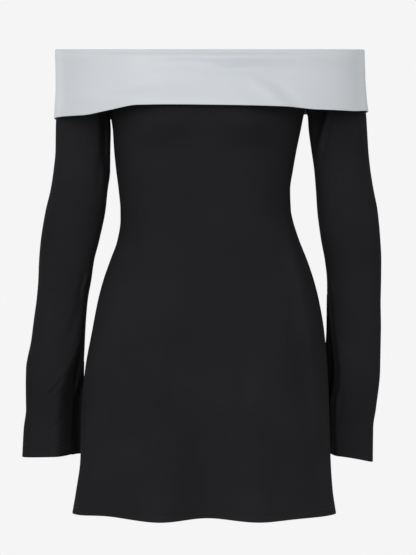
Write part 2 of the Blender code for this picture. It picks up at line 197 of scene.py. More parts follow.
# How soon the relief grows from nothing at the seams. It is whole where the sine of the
# turn round the piece, times this, is 1.
PANEL_CALM = 2.0
SLEEVE_CALM = 4.0

# Creases: three points of each one's line in x and z, how far it stands out or, below
# nothing, falls in, and its half width
Crease = namedtuple("Crease", "x1 z1 x2 z2 x3 z3 stand width")
CREASE_STEPS = 10  # straight steps that a crease's line is read in
RIGHT_SLEEVE_CREASES = (
    Crease(-0.149, -0.100, -0.154, -0.146, -0.161, -0.204, -0.0040, 0.0050),
    Crease(-0.171, -0.317, -0.180, -0.338, -0.186, -0.353, +0.0025, 0.0025),
    Crease(-0.178, -0.309, -0.187, -0.349, -0.190, -0.368, -0.0025, 0.0035),
    Crease(-0.183, -0.359, -0.197, -0.396, -0.209, -0.430, -0.0025, 0.0060),
    Crease(-0.203, -0.456, -0.222, -0.481, -0.245, -0.507, +0.0022, 0.0030),
    Crease(-0.209, -0.478, -0.219, -0.491, -0.231, -0.507, +0.0020, 0.0024),
    Crease(-0.215, -0.480, -0.228, -0.494, -0.241, -0.510, -0.0018, 0.0022),
    Crease(-0.207, -0.523, -0.220, -0.542, -0.236, -0.556, -0.0016, 0.0030),
    Crease(-0.261, -0.387, -0.252, -0.401, -0.244, -0.407, -0.0022, 0.0030),
    Crease(-0.270, -0.488, -0.264, -0.500, -0.255, -0.507, -0.0020, 0.0035),
)
LEFT_SLEEVE_CREASES = (
    Crease(0.169, -0.093, 0.162, -0.122, 0.154, -0.151, +0.0030, 0.0024),
    Crease(0.175, -0.095, 0.167, -0.131, 0.159, -0.170, -0.0022, 0.0028),
    Crease(0.194, -0.159, 0.183, -0.176, 0.175, -0.199, -0.0020, 0.0032),
    Crease(0.223, -0.113, 0.224, -0.145, 0.230, -0.175, +0.0022, 0.0022),
    Crease(0.214, -0.099, 0.218, -0.128, 0.223, -0.156, -0.0018, 0.0022),
    Crease(0.169, -0.320, 0.175, -0.342, 0.179, -0.359, +0.0030, 0.0030),
    Crease(0.196, -0.439, 0.207, -0.437, 0.224, -0.431, -0.0008, 0.0040),
    Crease(0.192, -0.492, 0.191, -0.517, 0.188, -0.546, -0.0018, 0.0050),
)
# Folds of the same kind at the back of the left sleeve. The right sleeve has them mirrored
# and moved a little.
BACK_CREASE_SHIFT = 0.012
SLEEVE_BACK_CREASES = (
    Crease(0.165, -0.120, 0.176, -0.150, 0.196, -0.182, -0.0024, 0.0050),
    Crease(0.172, -0.255, 0.196, -0.268, 0.222, -0.274, -0.0022, 0.0045),
    Crease(0.176, -0.285, 0.200, -0.300, 0.229, -0.304, -0.0028, 0.0050),
    Crease(0.180, -0.322, 0.205, -0.333, 0.236, -0.336, -0.0020, 0.0050),
    Crease(0.190, -0.390, 0.204, -0.440, 0.211, -0.500, +0.0030, 0.0060),
    Crease(0.186, -0.440, 0.194, -0.490, 0.200, -0.560, -0.0035, 0.0060),
    Crease(0.232, -0.500, 0.236, -0.540, 0.232, -0.585, -0.0025, 0.0070),
)
FRONT_CREASES = (
    Crease(-0.130, -0.104, -0.074, -0.110, -0.020, -0.106, +0.0065, 0.0140),
    Crease(-0.130, -0.142, -0.076, -0.148, -0.020, -0.142, -0.0110, 0.0160),
    Crease(-0.060, -0.130, -0.011, -0.132, +0.040, -0.130, -0.0026, 0.0120),
    Crease(+0.008, -0.106, +0.074, -0.111, +0.134, -0.112, +0.0055, 0.0150),
    Crease(+0.008, -0.146, +0.076, -0.152, +0.138, -0.160, -0.0100, 0.0190),
    Crease(-0.136, -0.122, -0.120, -0.153, -0.112, -0.202, +0.0015, 0.0080),
    Crease(-0.158, -0.469, -0.159, -0.544, -0.159, -0.624, -0.0024, 0.0034),
    Crease(-0.053, -0.411, -0.057, -0.502, -0.063, -0.579, -0.0034, 0.0075),
    Crease(-0.090, -0.432, -0.087, -0.530, -0.087, -0.642, +0.0024, 0.0100),
    Crease(+0.028, -0.404, +0.029, -0.502, +0.029, -0.600, +0.0022, 0.0080),
    Crease(+0.047, -0.441, +0.049, -0.544, +0.047, -0.624, -0.0026, 0.0070),
    Crease(-0.126, -0.502, -0.129, -0.558, -0.130, -0.614, -0.0022, 0.0090),
    Crease(+0.112, -0.240, +0.1465, -0.420, +0.176, -0.620, +0.0370, 0.0150),
    Crease(+0.096, -0.340, +0.114, -0.490, +0.126, -0.680, +0.0060, 0.0220),
)
BACK_CREASES = (
    Crease(-0.095, -0.215, -0.050, -0.232, +0.010, -0.236, -0.0018, 0.0070),
    Crease(+0.088, -0.232, +0.045, -0.250, -0.020, -0.252, -0.0020, 0.0070),
    Crease(-0.128, -0.140, -0.112, -0.180, -0.108, -0.225, -0.0016, 0.0080),
    Crease(+0.118, -0.145, +0.104, -0.180, +0.098, -0.230, -0.0016, 0.0080),
    Crease(-0.030, -0.430, -0.036, -0.520, -0.034, -0.640, -0.0018, 0.0080),
    Crease(+0.112, -0.420, +0.124, -0.510, +0.130, -0.630, +0.0020, 0.0100),
    Crease(-0.140, -0.470, -0.145, -0.550, -0.146, -0.630, -0.0014, 0.0040),
)
COLLAR_FRONT_CREASES = (
    Crease(-0.300, -0.010, +0.000, -0.010, +0.300, -0.010, +0.0072, 0.0240),
    Crease(-0.150, -0.104, -0.007, -0.096, +0.130, -0.104, +0.0090, 0.0240),
    Crease(-0.010, -0.046, +0.052, -0.040, +0.150, -0.041, -0.0038, 0.0090),
    Crease(-0.020, -0.026, +0.050, -0.022, +0.150, -0.026, +0.0016, 0.0060),
    Crease(-0.110, -0.034, -0.036, -0.031, +0.025, -0.034, -0.0026, 0.0090),
    Crease(-0.215, -0.020, -0.126, -0.023, -0.028, -0.019, -0.0010, 0.0060),
    Crease(+0.040, -0.048, +0.086, -0.074, +0.118, -0.112, +0.0020, 0.0090),
    Crease(+0.066, -0.046, +0.108, -0.074, +0.136, -0.112, -0.0022, 0.0100),
    Crease(-0.188, -0.060, -0.126, -0.067, -0.064, -0.058, -0.0020, 0.0090),
    Crease(-0.210, -0.080, -0.150, -0.076, -0.090, -0.082, +0.0012, 0.0080),
)
COLLAR_BACK_CREASES = (
    Crease(-0.120, -0.030, -0.040, -0.036, +0.060, -0.030, -0.0012, 0.0070),
    Crease(-0.020, -0.062, +0.060, -0.058, +0.140, -0.066, +0.0012, 0.0080),
    Crease(-0.180, -0.070, -0.130, -0.064, -0.070, -0.072, +0.0010, 0.0070),
)

# Where the front of a sleeve folds in at its inner side, above the cuff and below the
# armhole: the x of the fold's edge at each height, how wide the slope into it is, how deep
# it is, where 1 is the middle of the sleeve and 2 its back, and how far it sinks back there
HOLLOW_EASE = 1.6  # 1 is an even slope, and more starts it softly
Hollow = namedtuple("Hollow", "z x lip depth sink")
HOLLOWS = {
    RIGHT: (
        (
            Hollow(-0.396, -0.1855, 0.005, 0.0, 0.000),
            Hollow(-0.420, -0.1890, 0.008, 1.2, 0.006),
            Hollow(-0.452, -0.2020, 0.016, 1.45, 0.010),
            Hollow(-0.478, -0.2150, 0.028, 1.60, 0.014),
            Hollow(-0.510, -0.2250, 0.036, 1.70, 0.020),
            Hollow(-0.594, -0.2290, 0.038, 1.70, 0.020),
        ),
        (
            Hollow(-0.086, -0.1640, 0.010, 0.00, 0.0),
            Hollow(-0.104, -0.1620, 0.010, 0.35, 0.0),
            Hollow(-0.150, -0.1600, 0.010, 0.40, 0.0),
            Hollow(-0.200, -0.1560, 0.010, 0.20, 0.0),
            Hollow(-0.225, -0.1560, 0.010, 0.00, 0.0),
        ),
    ),
    LEFT: (
        (
            Hollow(-0.330, 0.1735, 0.005, 0.0, 0.000),
            Hollow(-0.355, 0.1770, 0.005, 1.2, 0.008),
            Hollow(-0.408, 0.1835, 0.008, 1.25, 0.010),
            Hollow(-0.474, 0.1915, 0.012, 1.30, 0.012),
            Hollow(-0.494, 0.1910, 0.013, 1.20, 0.012),
            Hollow(-0.512, 0.1870, 0.013, 1.20, 0.012),
            Hollow(-0.555, 0.1860, 0.012, 1.25, 0.012),
            Hollow(-0.604, 0.1880, 0.012, 1.25, 0.012),
        ),
        (
            Hollow(-0.086, 0.1695, 0.006, 0.00, 0.0),
            Hollow(-0.096, 0.1680, 0.006, 0.60, 0.0),
            Hollow(-0.123, 0.1610, 0.006, 0.60, 0.0),
            Hollow(-0.149, 0.1550, 0.006, 0.40, 0.0),
            Hollow(-0.175, 0.1530, 0.006, 0.00, 0.0),
        ),
    ),
}

# Narrow ridges that stand up again inside such a fold. Their stand is a share of its depth.
HOLLOW_RIDGES = {
    RIGHT: (Crease(-0.183, -0.390, -0.187, -0.443, -0.200, -0.512, 0.95, 0.0026),),
    LEFT: (Crease(0.173, -0.345, 0.179, -0.387, 0.183, -0.425, 0.90, 0.0020),),
}

# Sewing
TURN_UP = 0.0200  # depth of the turned-up hem and cuffs
EDGE_FOLD = 0.0010  # radius of the fold along the hem and cuffs
COLLAR_EDGE_FOLD = 0.0008
FOLD_ANGLES = (30, 60, 90, 120, 150)  # where a turned edge has its rows of points
SEAM_DENT = 0.0009  # how deep a seam draws the cloth in
SEAM_DENT_WIDTH = 0.0022
SIDE_SEAM_START = 0.0100  # height below the underarm over which a side seam sets in
COLLAR_SEAM = 0.0260  # from each outer end of the collar, along it, to a seam
HEM_ROWS = (0.0105, 0.0165)  # heights of the twin-needle rows above the hem's edge
CUFF_ROWS = (0.0125, 0.0185)
CUFF_SETTLE = 0.0500  # height of the stretch above a cuff that slides to its slanting edge
ROW_DENT = 0.0006  # how deep such a row draws the cloth in
ROW_DENT_WIDTH = 0.0012
EDGE_FLARE = 0.0020  # how far the turned-up edge stands out below the rows

# The thread of the twin-needle rows, and its stitches
THREAD = 0.00045
STITCH_LENGTH = 0.0027
STITCH_GAP = 0.0006
STITCH_SIDES = 6
STITCH_END_INSET = 0.22  # the rounding of a stitch's ends, in shares of the thread
STITCH_END_DEPTH = 0.25
STITCH_LIFT = 0.25  # how far a stitch's middle is off the cloth, in the same shares
HEM_LINE_START = 0.02  # the turn at which a hem's stitches start, past the side seam
HEM_LINE_POINTS = 301
CUFF_LINE_POINTS = 241

# Rows and columns of points in each piece, and the step from row to row
ARMHOLE_ROWS = 30
PANEL_COLUMNS = 150
PANEL_STEP = 0.0030
SLEEVE_COLUMNS = 160
SLEEVE_STEP = 0.0024
CLOSE_SEWING = 0.0240  # height of the stretch above an edge that has closer rows
CLOSE_STEP = 0.0007
TURN_UP_ROWS = 20
COLLAR_COLUMNS = 230
COLLAR_INSIDE_ROWS = 5
COLLAR_FOLD_STEP = 20  # degrees
COLLAR_ROWS = 40
COLLAR_TURN_ROWS = 5

# Patterns of the cloths and of the thread. The real wales are about 0.8 mm and the twill
# of the satin face about 0.3 mm. Both are coarser here, so that they show from close up.
WALE = 0.0011
COURSE = 0.0009
LOOP_SLANT = 2.6  # how far a loop's legs slant, in radians of its course
LOOP_RELIEF = 0.35  # height of the courses, where the wales' is 1
TWILL = 0.0006
TWIST = 0.0005

# The bands and parts that each piece of cloth has in the solids
BODY_BANDS = ("yoke", "bodice", "hips", "skirt", "hem")
SLEEVE_BANDS = ("top", "upper", "fore", "cuff")
COLLAR_PARTS = ("right", "middle", "left")
BANDS = {
    "dress_front": BODY_BANDS, "dress_back": BODY_BANDS,
    "sleeve_right": SLEEVE_BANDS, "sleeve_left": SLEEVE_BANDS,
    "collar_front": COLLAR_PARTS, "collar_back": COLLAR_PARTS,
}

# What each piece is cut to, its area, its finish and what it hangs on
Cut = namedtuple("Cut", "flat area slot rests_on")

# Camera, from the photo: one pixel is 1.45 mm at the side seams
IMAGE_HEIGHT = 555
PIXEL = 0.00145
CAMERA_DISTANCE = 2.80
CAMERA_X = -0.0029
CAMERA_Z = -0.3310
SENSOR = 36.0

# Studio: the floor, the direction where the white is brightest, the white's share opposite
# and there, a soft key from the upper left, and weak soft lights
FLOOR_HEIGHT = -1.02
FLOOR_RADIUS = 1.35
LIGHT_TARGET = (0.0, 0.0, -0.33)
BRIGHT_SIDE = (-0.20, -0.45, 0.87)
LIGHT_LEAST = 0.04
LIGHT_MOST = 0.78
KEY_PLACE = (-0.70, -2.70, 0.70)
KEY_POWER = 35.5
KEY_SIZE = (1.6, 1.8)
SOFT_LIGHT_SIZE = (1.0, 1.6)
SOFT_LIGHTS = {
    "left edge": ((-1.9, 1.3, 0.1), 10.0),
    "right edge": ((1.9, 1.3, -0.1), 8.0),
    "back fill": ((0.3, 2.7, 0.8), 22.0),
    "low fill": ((1.6, -2.2, -0.7), 5.0),
}


def slope(places, values, i):
    """The slope of a smooth curve at its point i, kept low enough not to overshoot."""
    if i == 0 or i == len(places) - 1:
        j = max(i, 1)
        return (values[j] - values[j - 1]) / (places[j] - places[j - 1])
    before = (values[i] - values[i - 1]) / (places[i] - places[i - 1])
    after = (values[i + 1] - values[i]) / (places[i + 1] - places[i])
    if before * after <= 0:
        return 0.0
    return 2 * before * after / (before + after)


def read(table, column, place):
    """A column of a table at a place between its rows, on a smooth curve."""
    sign = 1 if table[-1][0] > table[0][0] else -1
    places = [sign * row[0] for row in table]
    values = [getattr(row, column) for row in table]
    place = min(max(sign * place, places[0]), places[-1])
    i = 0
    while place > places[i + 1]:
        i += 1
    step = places[i + 1] - places[i]
    t = (place - places[i]) / step
    start, end = slope(places, values, i) * step, slope(places, values, i + 1) * step
    return (
        values[i] * (1 + 2 * t) * (1 - t) ** 2
        + start * t * (1 - t) ** 2
        + values[i + 1] * t * t * (3 - 2 * t)
        + end * t * t * (t - 1)
    )


def soft_step(low, high, value):
    """0 up to low, 1 from high on, and smooth between them."""
    t = np.clip((value - low) / (high - low), 0.0, 1.0)
    return t * t * (3 - 2 * t)


def bulge(x, left, right, depth, power):
    """How far a rounded outline from left to right stands out at x."""
    reach = np.abs(2 * x - left - right) / (right - left)
    return depth * np.maximum(1 - reach**power, 0.0) ** (1 / power)


def depth_of(face, z):
    """How far the body reaches from its side seams to the front or to the back."""
    column = "front" if face == FRONT else "back"
    return face * (read(TORSO, column, z) - read(TORSO, "seam", z))


def shoulder_bulge(x, face, z, offset):
    """The outline that goes round the chest and both arms, moved out by an offset."""
    left = read(RIGHT_SLEEVE, "outer", z) - offset
    right = read(LEFT_SLEEVE, "outer", z) + offset
    return bulge(x, left, right, depth_of(face, z) + offset, SHOULDER_POWER)


def fold_height(y):
    """The height of the collar's fold, which dips towards the front."""
    return NECK_DIP * np.minimum(y, 0.0)


def armhole_opening(rise):
    """How far the armhole has opened, from 0 at the underarm to 1 at the neckline."""
    return math.sqrt(1 - (1 - rise) ** 2)


def crease_corners(crease):
    """The points of a smooth curve through a crease's three points."""
    corners = []
    for t in np.linspace(0, 1, CREASE_STEPS + 1):
        first, middle, last = 2 * (t - 0.5) * (t - 1), 4 * t * (1 - t), 2 * t * (t - 0.5)
        x = first * crease.x1 + middle * crease.x2 + last * crease.x3
        z = first * crease.z1 + middle * crease.z2 + last * crease.z3
        corners.append((x, z))
    return corners


def creased(creases, x, z):
    """How far the creases of a list move the cloth out at each x and z."""
    out = np.zeros(np.broadcast(x, z).shape)
    for crease in creases:
        corners = crease_corners(crease)
        near = np.full(out.shape, 1.0)
        along = np.zeros(out.shape)
        for step in range(CREASE_STEPS):
            (x0, z0), (x1, z1) = corners[step], corners[step + 1]
            wide, high = x1 - x0, z1 - z0
            share = ((x - x0) * wide + (z - z0) * high) / (wide * wide + high * high)
            share = np.clip(share, 0, 1)
            gap = np.hypot(x - x0 - share * wide, z - z0 - share * high)
            along = np.where(gap < near, (step + share) / CREASE_STEPS, along)
            near = np.minimum(gap, near)
        out += crease.stand * np.sin(math.pi * along) * np.exp(-((near / crease.width) ** 2))
    return out


def ruffled(face, x, z):
    """How far the bust and the skirt's flutes move the cloth out at a place."""
    out = np.zeros(x.shape)
    for flute in FLUTES[face]:
        middle = flute.x * read(TORSO, "right", z) / TORSO[-1].right
        grown = soft_step(-flute.start, -HEM, -z) ** FLUTE_GROWTH
        out += flute.stand * grown * np.exp(-(((x - middle) / flute.width) ** 2))
    if face == FRONT:
        for swell in BUST:
            across = ((x - swell.x) / swell.width) ** 2
            along = ((z - swell.z) / swell.height) ** 2
            out += swell.stand * np.exp(-across - along)
    return out


def raised(rise, y):
    """The height of a row that is this share of the way up to the neckline seam."""
    return UNDERARM + rise * (fold_height(y) - SEAM_DROP - UNDERARM)


def calmed(turn, pace):
    """The share of the relief at each turn, which is nothing at the seams."""
    return np.minimum(np.abs(np.sin(turn)) * pace, 1.0)


def seam_dent(run):
    """How far a seam draws the cloth in, this far away from it."""
    return SEAM_DENT * np.exp(-((run / SEAM_DENT_WIDTH) ** 2))


def sewn_edge(up, rows):
    """How far the cloth stands out, this far above a turned-up edge with rows of stitches."""
    out = EDGE_FLARE * (1 - float(soft_step(0.0, rows[0], up)))
    for row in rows:
        out -= ROW_DENT * math.exp(-(((up - row) / ROW_DENT_WIDTH) ** 2))
    return out


def panel_row(face, z, rise, turn, creases, inset=0.0):
    """One row of points across the front or back panel, at turns from 0 to half a circle.

    The rise is 0 at the underarm and below it, and 1 at the neckline. The inset is how far
    the row is inside the panel's own surface.
    """
    left, right = read(TORSO, "left", z) + inset, read(TORSO, "right", z) - inset
    x = (left + right) / 2 - (right - left) / 2 * np.cos(turn)
    seam = read(TORSO, "seam", z)
    stand = bulge(x, left, right, depth_of(face, z) - inset, read(TORSO, "power", z))
    if rise > 0:
        whole = shoulder_bulge(x, face, z, -inset)
        stand = stand + (whole - stand) * armhole_opening(rise)
        height = raised(rise, seam + face * whole)
    else:
        height = z - HEM_LIFT * ruffled(face, x, z)
    calm = calmed(turn, PANEL_CALM)
    stand = stand + ruffled(face, x, z) * calm
    stand = stand + creased(creases, x, np.full(x.shape, z)) * np.sin(turn)
    stand = stand + sewn_edge(z - HEM, HEM_ROWS) * calm
    # A side seam draws both panels in sideways, and an armhole seam draws them back.
    dent = seam_dent(np.minimum(turn, math.pi - turn) * (right - left) / 2)
    below = float(soft_step(-UNDERARM, -UNDERARM + SIDE_SEAM_START, -z))
    x = x + np.sign(math.pi / 2 - turn) * dent * below
    stand = stand - dent * armhole_opening(rise)
    return np.stack([x, seam + face * stand, np.broadcast_to(height, x.shape)], 1)


def sleeve_row(side, z, rise, turn, creases, back_creases, inset=0.0):
    """One row of points round a sleeve, from its inner side by the front to the back."""
    table = SLEEVES[side]
    edge = "left" if side == RIGHT else "right"
    inner = read(TORSO, edge, z) if rise > 0 else read(table, "inner", z)
    inner += side * inset
    outer = read(table, "outer", z) - side * inset
    depth = read(table, "depth", z) - inset
    face = np.where(turn < math.pi, FRONT, BACK)
    x = (inner + outer) / 2 - (outer - inner) / 2 * np.cos(turn)
    stand = depth * np.abs(np.sin(turn)) ** SLEEVE_FLATNESS
    middle = read(table, "middle", z)
    height = np.full(x.shape, z)
    if rise > 0:
        whole = np.where(
            face == FRONT,
            shoulder_bulge(x, FRONT, z, -inset),
            shoulder_bulge(x, BACK, z, -inset),
        )
        stand = stand + (whole - stand) * armhole_opening(rise)
        height = raised(rise, middle + face * whole)
    here = np.full(x.shape, z)
    ridge = creased(HOLLOW_RIDGES[side], x, here)
    for hollow in HOLLOWS[side]:
        past = side * (read(hollow, "x", z) - x)
        inside = soft_step(0.0, read(hollow, "lip", z), past) ** HOLLOW_EASE
        middle = middle + inside * read(hollow, "sink", z)
        inside = inside * (1 - ridge) * (face == FRONT)
        stand = stand * (1 - inside * read(hollow, "depth", z))
    fold = np.where(face == FRONT, creased(creases, x, here), creased(back_creases, x, here))
    fold = fold + sewn_edge(z - table[-1].z, CUFF_ROWS)
    stand = stand + fold * calmed(turn, SLEEVE_CALM)
    run = np.minimum(turn, 2 * math.pi - turn) * abs(outer - inner) / 2
    stand = stand - seam_dent(run) * armhole_opening(rise)
    return np.stack([x, middle + face * stand, height], 1)


def cuff_height(side, turn):
    """The height of the fold along a cuff's slanting edge, round the sleeve."""
    cuff = CUFFS[side]
    across = (1 - np.cos(turn)) / 2
    return cuff.inner + (cuff.outer - cuff.inner) * across**2 + EDGE_FOLD


def outer_sleeve_row(side, z, rise, turn, creases, back_creases):
    """A row of the sleeve's outer layer. The last stretch slides to the slanting cuff."""
    row = sleeve_row(side, z, rise, turn, creases, back_creases)
    last = SLEEVES[side][-1].z
    settle = float(soft_step(-last - CUFF_SETTLE, -last, -z))
    row[:, 2] += (cuff_height(side, turn) - last) * settle
    return row


def collar_row(face, drop, share, turn, offset, creases):
    """One row of points along the collar, this far outside the dress's own surface.

    The drop is how far the row is below the fold. On the part that is folded over, the
    share goes from there, at 0, to the lower edge, at 1. Elsewhere it is None.
    """
    level = -drop if share is None else COLLAR_EDGES[face][0].z * share
    left = read(RIGHT_SLEEVE, "outer", level) - offset
    right = read(LEFT_SLEEVE, "outer", level) + offset
    x = (left + right) / 2 - (right - left) / 2 * np.cos(turn)
    stand = shoulder_bulge(x, face, level, offset)
    y = read(TORSO, "seam", level) + face * stand
    z = fold_height(y) - drop
    if share is not None:
        edge = np.array([read(COLLAR_EDGES[face], "z", place) for place in x])
        z = z + share * (edge - z)
        start = float(soft_step(0.0, COLLAR_ROLL, share))
        y = y + face * creased(creases, x, z) * calmed(turn, PANEL_CALM) * start
        row = np.stack([x, y, z], 1)
        lengths = np.linalg.norm(np.diff(row, axis=0), axis=1)
        run = np.concatenate([[0], np.cumsum(lengths)])
        run = np.minimum(run, run[-1] - run)
        x = x + np.sign(math.pi / 2 - turn) * seam_dent(run - COLLAR_SEAM)
    return np.stack([x, y, z], 1)


def body_levels(last, step):
    """Each row's height for reading the tables, and its rise above the underarm."""
    rises = [(row / ARMHOLE_ROWS) ** 2 for row in range(ARMHOLE_ROWS, 0, -1)]
    levels = [(UNDERARM + rise * (-SEAM_DROP - UNDERARM), rise) for rise in rises]
    close = last + CLOSE_SEWING
    heights = np.linspace(UNDERARM, close, round((UNDERARM - close) / step) + 1)
    levels += [(float(z), 0.0) for z in heights[:-1]]
    heights = np.linspace(close, last, round(CLOSE_SEWING / CLOSE_STEP) + 1)
    levels += [(float(z), 0.0) for z in heights]
    return levels


def cloth(name, rows, material, thickness, ring_from=None, flip=False):
    """A thin piece of cloth from rows of points on its right side.

    From the row ring_from down, the two sides of the rows are one, as in a tube. The
    piece's own map gives the run across and down the cloth in metres.
    """
    mesh = bmesh.new()
    layer = mesh.loops.layers.uv.new("Cloth")
    grid, runs = [], []
    widest = max(rows, key=lambda row: np.abs(np.diff(row, axis=0)).sum())
    across = np.concatenate([[0], np.cumsum(np.linalg.norm(np.diff(widest, axis=0), axis=1))])
    down = 0.0
    for number, row in enumerate(rows):
        ring = ring_from is not None and number >= ring_from
        points = [mesh.verts.new(point) for point in (row[:-1] if ring else row)]
        if ring:
            points.append(points[0])
        if number:
            column = len(row) // 3
            down += float(np.linalg.norm(row[column] - rows[number - 1][column]))
        grid.append(points)
        runs.append(down)
    for r in range(len(rows) - 1):
        for c in range(len(rows[0]) - 1):
            corners = [(r, c), (r + 1, c), (r + 1, c + 1), (r, c + 1)]
            if flip:
                corners.reverse()
            face = mesh.faces.new([grid[i][j] for i, j in corners])
            for loop, (i, j) in zip(face.loops, corners):
                loop[layer].uv = (across[j], runs[i])
    data = bpy.data.meshes.new(name)
    mesh.to_mesh(data)
    mesh.free()
    data.shade_smooth()
    data.materials.append(material)
    piece = bpy.data.objects.new(name, data)
    bpy.context.scene.collection.objects.link(piece)
    wall = piece.modifiers.new("Thickness", "SOLIDIFY")
    wall.thickness = thickness
    wall.offset = -1.0
    return piece


def linear(hex_colour):
    """An sRGB hex colour as the linear colour that a shader takes."""
    parts = [int(hex_colour[i : i + 2], 16) / 255 for i in (0, 2, 4)]
    bent = [p / 12.92 if p <= 0.04045 else ((p + 0.055) / 1.055) ** 2.4 for p in parts]
    return (*bent, 1.0)


def add_node(tree, kind, inputs=None, **settings):
    """Adds a node with its settings. An input is a value or another node's output."""
    node = tree.nodes.new(kind)
    for name, value in settings.items():
        setattr(node, name, value)
    for socket, value in (inputs or {}).items():
        if isinstance(value, bpy.types.NodeSocket):
            tree.links.new(value, node.inputs[socket])
        else:
            node.inputs[socket].default_value = value
    return node


def knit_height(tree):
    """Rows of knit loops on the cloth's own map: a column every wale, a row every course."""
    place = add_node(tree, "ShaderNodeUVMap", uv_map="Cloth")
    run = add_node(tree, "ShaderNodeSeparateXYZ", {0: place.outputs[0]})
    column = add_node(
        tree, "ShaderNodeMath", {0: run.outputs[0], 1: math.pi / WALE}, operation="MULTIPLY"
    )
    column = add_node(tree, "ShaderNodeMath", {0: column.outputs[0]}, operation="SINE")
    rib = add_node(tree, "ShaderNodeMath", {0: column.outputs[0]}, operation="ABSOLUTE")
    row = add_node(
        tree, "ShaderNodeMath", {0: run.outputs[1], 1: 2 * math.pi / COURSE}, operation="MULTIPLY"
    )
    slant = add_node(
        tree, "ShaderNodeMath", {0: rib.outputs[0], 1: LOOP_SLANT, 2: row.outputs[0]},
        operation="MULTIPLY_ADD",
    )
    loop = add_node(tree, "ShaderNodeMath", {0: slant.outputs[0]}, operation="SINE")
    return add_node(
        tree, "ShaderNodeMath", {0: loop.outputs[0], 1: LOOP_RELIEF, 2: rib.outputs[0]},
        operation="MULTIPLY_ADD",
    ).outputs[0]


def wave_scale(period):
    """The scale at which a Wave texture repeats in so many metres."""
    return 2 * math.pi / 20 / period


def shader_of(name):
    """A new material, its nodes and its shader."""
    material = bpy.data.materials.new(name)
    material.use_nodes = True
    tree = material.node_tree
    return material, tree, tree.nodes["Principled BSDF"]


def stretch_jersey():
    """Black viscose and elastane single jersey, knitted and matt.

    The eye gets a dense, even black with a faint soft bloom where the cloth turns away.
    """
    material, tree, shader = shader_of("black stretch jersey")
    place = add_node(tree, "ShaderNodeTexCoord").outputs["Object"]
    cloud = add_node(tree, "ShaderNodeTexNoise", {"Vector": place, "Scale": 9.0, "Detail": 3.0})
    fleck = add_node(tree, "ShaderNodeTexNoise", {"Vector": place, "Scale": 700.0, "Detail": 2.0})
    mixed = add_node(
        tree, "ShaderNodeMath", {0: fleck.outputs["Fac"], 1: 0.45, 2: cloud.outputs["Fac"]},
        operation="MULTIPLY_ADD",
    )
    tone = add_node(tree, "ShaderNodeValToRGB", {"Fac": mixed.outputs[0]})
    tone.color_ramp.elements[0].position = 0.45
    tone.color_ramp.elements[0].color = linear("1F1F21")
    tone.color_ramp.elements[1].position = 1.0
    tone.color_ramp.elements[1].color = linear("252527")
    bump = add_node(
        tree, "ShaderNodeBump",
        {"Height": knit_height(tree), "Strength": 0.22, "Distance": 0.00025},
    )
    tree.links.new(tone.outputs["Color"], shader.inputs["Base Color"])
    tree.links.new(bump.outputs["Normal"], shader.inputs["Normal"])
    shader.inputs["Roughness"].default_value = 0.80
    shader.inputs["Specular IOR Level"].default_value = 0.012
    shader.inputs["Sheen Weight"].default_value = 0.012
    shader.inputs["Sheen Roughness"].default_value = 0.45
    shader.inputs["Sheen Tint"].default_value = linear("C8CAD2")
    return material


def satin_crepe():
    """Pale grey satin-backed crepe, woven and softly polished.

    The eye gets a smooth cool grey with broad soft highlights and no sharp gloss.
    """
    material, tree, shader = shader_of("pale satin crepe")
    place = add_node(tree, "ShaderNodeTexCoord").outputs["Object"]
    cloud = add_node(tree, "ShaderNodeTexNoise", {"Vector": place, "Scale": 14.0, "Detail": 4.0})
    tone = add_node(tree, "ShaderNodeValToRGB", {"Fac": cloud.outputs["Fac"]})
    tone.color_ramp.elements[0].position = 0.30
    tone.color_ramp.elements[0].color = linear("CBCFD3")
    tone.color_ramp.elements[1].position = 0.75
    tone.color_ramp.elements[1].color = linear("CED2D6")
    cloth_map = add_node(tree, "ShaderNodeUVMap", uv_map="Cloth").outputs[0]
    twill = add_node(
        tree, "ShaderNodeTexWave",
        {"Vector": cloth_map, "Scale": wave_scale(TWILL), "Distortion": 0.6},
        bands_direction="DIAGONAL",
    )
    bump = add_node(
        tree, "ShaderNodeBump",
        {"Height": twill.outputs["Fac"], "Strength": 0.10, "Distance": 0.0001},
    )
    tree.links.new(tone.outputs["Color"], shader.inputs["Base Color"])
    tree.links.new(bump.outputs["Normal"], shader.inputs["Normal"])
    shader.inputs["Roughness"].default_value = 0.46
    shader.inputs["Specular IOR Level"].default_value = 0.40
    shader.inputs["Sheen Weight"].default_value = 0.10
    shader.inputs["Sheen Roughness"].default_value = 0.40
    return material


def sewing_thread():
    """Spun polyester sewing thread, a twisted strand.

    The eye gets a fine black line, slightly glossier than the cloth that it lies on.
    """
    material, tree, shader = shader_of("black sewing thread")
    place = add_node(tree, "ShaderNodeTexCoord").outputs["Object"]
    twist = add_node(
        tree, "ShaderNodeTexWave", {"Vector": place, "Scale": wave_scale(TWIST)},
        bands_direction="DIAGONAL",
    )
    bump = add_node(
        tree, "ShaderNodeBump",
        {"Height": twist.outputs["Fac"], "Strength": 0.3, "Distance": 0.0001},
    )
    tree.links.new(bump.outputs["Normal"], shader.inputs["Normal"])
    shader.inputs["Base Color"].default_value = linear("19191B")
    shader.inputs["Roughness"].default_value = 0.55
    shader.inputs["Specular IOR Level"].default_value = 0.30
    return material


def hang(piece, node):
    """Hangs a sheet of cloth on the root and hides the solids of all the bands of its node, which
    it stands for.
    """
    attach(piece, "root")
    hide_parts(*(f"{node}_{band}" for band in BANDS[node]))


def turned_edge(outer, inner, radius):
    """Rows round the fold of a turned edge, from the outer layer's row to the inner's."""
    folded = []
    middle = (outer + inner) / 2
    for angle in FOLD_ANGLES:
        swing = math.radians(angle)
        row = middle + (outer - middle) * math.cos(swing)
        row[:, 2] = middle[:, 2] - radius * math.sin(swing)
        folded.append(row)
    return folded


